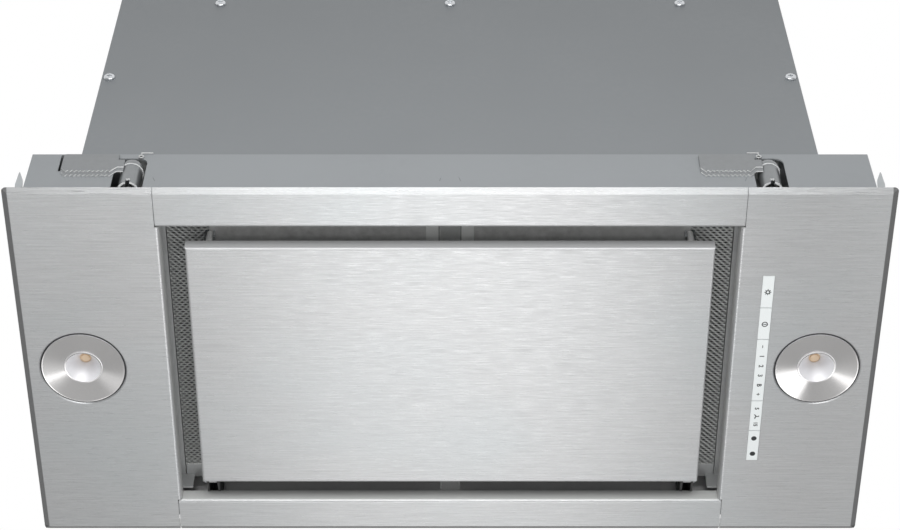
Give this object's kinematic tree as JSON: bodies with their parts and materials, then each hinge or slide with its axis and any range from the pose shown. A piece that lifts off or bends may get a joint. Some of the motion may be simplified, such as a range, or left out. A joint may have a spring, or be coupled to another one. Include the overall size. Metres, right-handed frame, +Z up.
{
  "type": "built-in cooker hood",
  "caption": "Cabinet-fitted extractor hood with a hinged edge-suction panel, grease filters, lamps, keys, fan, swing clamps and round duct spigot.",
  "frame": {"origin": "centre of the cabinet cut-out, in the plane where the fascia's rim meets the underside of the cabinet base", "axes": "+X to the right as the cook sees it, +Y towards the wall, +Z up"},
  "size_m": [0.58, 0.288, 0.37],
  "materials": {
    "brushed_stainless": "brushed",
    "galvanised": "satin",
    "dark_steel": "satin",
    "zinc": "satin",
    "aluminium": "satin",
    "expanded_metal": "satin",
    "reflector": "polished",
    "led": "gloss",
    "key_white": "gloss",
    "pale_plastic": "matte",
    "dark_plastic": "matte",
    "circuit_board": "satin"
  },
  "bodies": {
    "hood": {"front_rail": "brushed_stainless", "rear_rail": "brushed_stainless", "left_side_panel": "brushed_stainless", "right_side_panel": "brushed_stainless", "base_frame": "galvanised", "left_inner_wall": "galvanised", "right_inner_wall": "galvanised", "filter_front_ledge": "galvanised", "centre_bar": "galvanised", "filter_rod": "dark_steel", "hinge_brackets": "galvanised", "hinge_pins": "zinc", "lamp_reflector_left": "reflector", "lamp_reflector_right": "reflector", "led_module_left": "led", "led_module_right": "led", "lamp_housing_left": "dark_plastic", "lamp_housing_right": "dark_plastic", "key_frame": "dark_plastic", "control_board": "circuit_board", "clamp_screws": "zinc", "clamp_brackets": "galvanised", "side_springs": "zinc", "led_driver": "dark_plastic", "housing_shell": "galvanised", "front_cover": "galvanised", "top_plate": "galvanised", "cover_screws": "zinc", "scroll_housing": "dark_plastic", "motor": "dark_steel", "motor_bracket": "galvanised", "capacitor": "pale_plastic", "terminal_box": "pale_plastic", "cable_gland": "dark_plastic", "duct_spigot": "dark_plastic", "flap_pin": "zinc"},
    "edge_panel": {"edge_panel_skin": "brushed_stainless", "edge_panel_tray": "galvanised", "catch_studs": "zinc"},
    "left_filter": {"filter_frame_left": "aluminium", "filter_mesh_left": "expanded_metal", "catch_clip_left": "zinc"},
    "right_filter": {"filter_frame_right": "aluminium", "filter_mesh_right": "expanded_metal", "catch_clip_right": "zinc"},
    "left_latch": {"filter_latch_left": "aluminium"},
    "right_latch": {"filter_latch_right": "aluminium"},
    "light_button": {"light_key": "key_white"},
    "power_button": {"power_key": "key_white"},
    "fan_rocker": {"fan_key": "key_white"},
    "timer_button": {"timer_key": "key_white"},
    "filter_button": {"filter_key": "key_white"},
    "front_left_clamp": {"clamp_arm_front_left": "zinc"},
    "front_right_clamp": {"clamp_arm_front_right": "zinc"},
    "rear_left_clamp": {"clamp_arm_rear_left": "zinc"},
    "rear_right_clamp": {"clamp_arm_rear_right": "zinc"},
    "fan_wheel": {"impeller": "dark_plastic", "motor_shaft": "zinc"},
    "left_damper": {"flap_left": "dark_plastic"},
    "right_damper": {"flap_right": "dark_plastic"}
  },
  "joints": [
    {"name": "panel_hinge", "type": "hinge", "parent": "hood", "child": "edge_panel", "pos_m": [0, 0.103, 0.006], "axis": [1, 0, 0], "range_deg": [0, 90]},
    {"name": "left_filter_hinge", "type": "hinge", "parent": "hood", "child": "left_filter", "pos_m": [0, 0.1116, 0.0285], "axis": [1, 0, 0], "range_deg": [0, 36]},
    {"name": "right_filter_hinge", "type": "hinge", "parent": "hood", "child": "right_filter", "pos_m": [0, 0.1116, 0.0285], "axis": [1, 0, 0], "range_deg": [0, 36]},
    {"name": "left_latch_slide", "type": "slide", "parent": "left_filter", "child": "left_latch", "axis": [0, 1, 0], "range_m": [0, 0.003], "stiffness_N_per_m": 250, "springref_m": -0.002},
    {"name": "right_latch_slide", "type": "slide", "parent": "right_filter", "child": "right_latch", "axis": [0, 1, 0], "range_m": [0, 0.003], "stiffness_N_per_m": 250, "springref_m": -0.002},
    {"name": "light_press", "type": "slide", "parent": "hood", "child": "light_button", "axis": [0, 0, 1], "range_m": [0, 0.001], "stiffness_N_per_m": 800, "springref_m": -0.0005},
    {"name": "power_press", "type": "slide", "parent": "hood", "child": "power_button", "axis": [0, 0, 1], "range_m": [0, 0.001], "stiffness_N_per_m": 800, "springref_m": -0.0005},
    {"name": "timer_press", "type": "slide", "parent": "hood", "child": "timer_button", "axis": [0, 0, 1], "range_m": [0, 0.001], "stiffness_N_per_m": 800, "springref_m": -0.0005},
    {"name": "filter_press", "type": "slide", "parent": "hood", "child": "filter_button", "axis": [0, 0, 1], "range_m": [0, 0.001], "stiffness_N_per_m": 800, "springref_m": -0.0005},
    {"name": "fan_rock", "type": "hinge", "parent": "hood", "child": "fan_rocker", "pos_m": [0.211, 0.0016, 0.001], "axis": [1, 0, 0], "range_deg": [-1.2, 1.2], "stiffness_Nm_per_rad": 0.6},
    {"name": "front_left_clamp_swing", "type": "hinge", "parent": "hood", "child": "front_left_clamp", "pos_m": [-0.2125, -0.1245, 0.045], "axis": [0, 0, 1], "range_deg": [0, 90]},
    {"name": "front_right_clamp_swing", "type": "hinge", "parent": "hood", "child": "front_right_clamp", "pos_m": [0.2125, -0.1245, 0.045], "axis": [0, 0, 1], "range_deg": [0, 90]},
    {"name": "rear_left_clamp_swing", "type": "hinge", "parent": "hood", "child": "rear_left_clamp", "pos_m": [-0.2125, 0.1245, 0.045], "axis": [0, 0, -1], "range_deg": [0, 90]},
    {"name": "rear_right_clamp_swing", "type": "hinge", "parent": "hood", "child": "rear_right_clamp", "pos_m": [0.2125, 0.1245, 0.045], "axis": [0, 0, -1], "range_deg": [0, 90]},
    {"name": "fan_spin", "type": "hinge", "parent": "hood", "child": "fan_wheel", "pos_m": [0, -0.025, 0.168], "axis": [1, 0, 0], "continuous": true},
    {"name": "left_damper_swing", "type": "hinge", "parent": "hood", "child": "left_damper", "pos_m": [0, 0.04, 0.314], "axis": [0, 1, 0], "range_deg": [0, 75]},
    {"name": "right_damper_swing", "type": "hinge", "parent": "hood", "child": "right_damper", "pos_m": [0, 0.04, 0.314], "axis": [0, -1, 0], "range_deg": [0, 75]}
  ],
  "couplings": [
    {"joint": "left_filter_hinge", "follows": "panel_hinge", "ratio": 0.4},
    {"joint": "right_filter_hinge", "follows": "panel_hinge", "ratio": 0.4}
  ]
}
